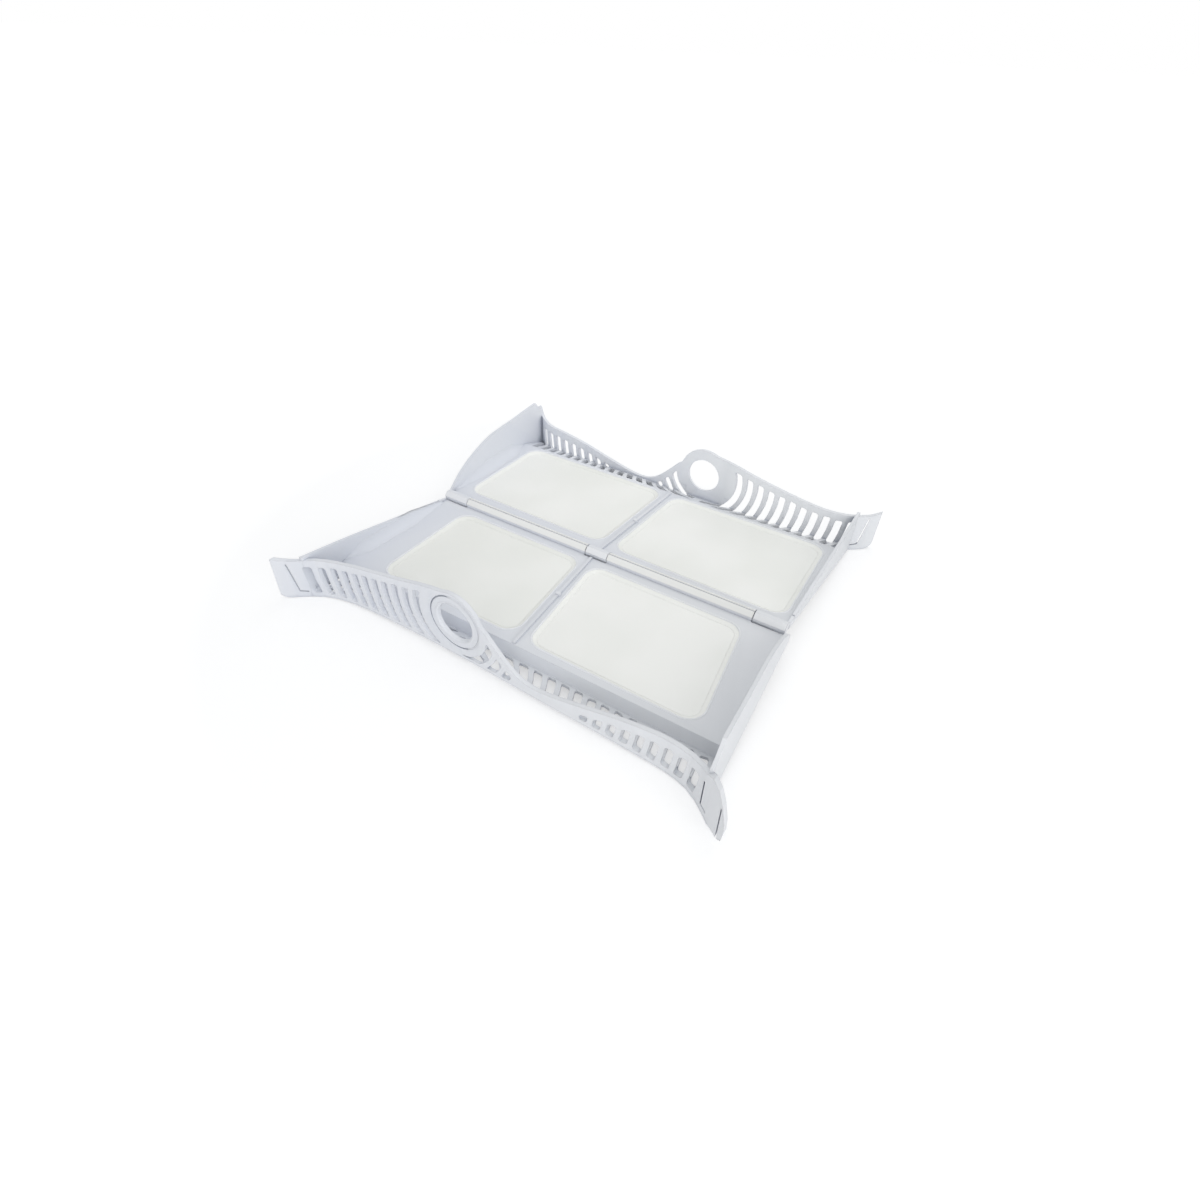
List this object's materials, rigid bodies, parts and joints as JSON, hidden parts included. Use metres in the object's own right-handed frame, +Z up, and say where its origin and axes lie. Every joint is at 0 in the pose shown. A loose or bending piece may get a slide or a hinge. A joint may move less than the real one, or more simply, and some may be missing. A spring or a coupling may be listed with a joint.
{
  "type": "dryer lint filter",
  "caption": "Folding lint filter for a tumble dryer: hinged plastic leaves with gauze windows, curved slotted front walls and finger rings, open flat.",
  "frame": {"origin": "centre of the bounding box's lower face, on the surface the open filter lies on", "axes": "+X along the hinge, +Y towards the far leaf, +Z up from the floors' lint side"},
  "size_m": [0.3062, 0.2884, 0.047],
  "materials": {
    "white_plastic": "satin",
    "cream_gauze": "fine woven"
  },
  "bodies": {
    "near_leaf": {"near_frame": "white_plastic", "near_screen_left": "cream_gauze", "near_screen_right": "cream_gauze"},
    "far_leaf": {"far_frame": "white_plastic", "far_screen_left": "cream_gauze", "far_screen_right": "cream_gauze"}
  },
  "joints": [
    {"name": "leaf_hinge", "type": "hinge", "parent": "near_leaf", "child": "far_leaf", "pos_m": [0, 0, 0.0133], "axis": [1, 0, 0], "range_deg": [0, 158]}
  ]
}
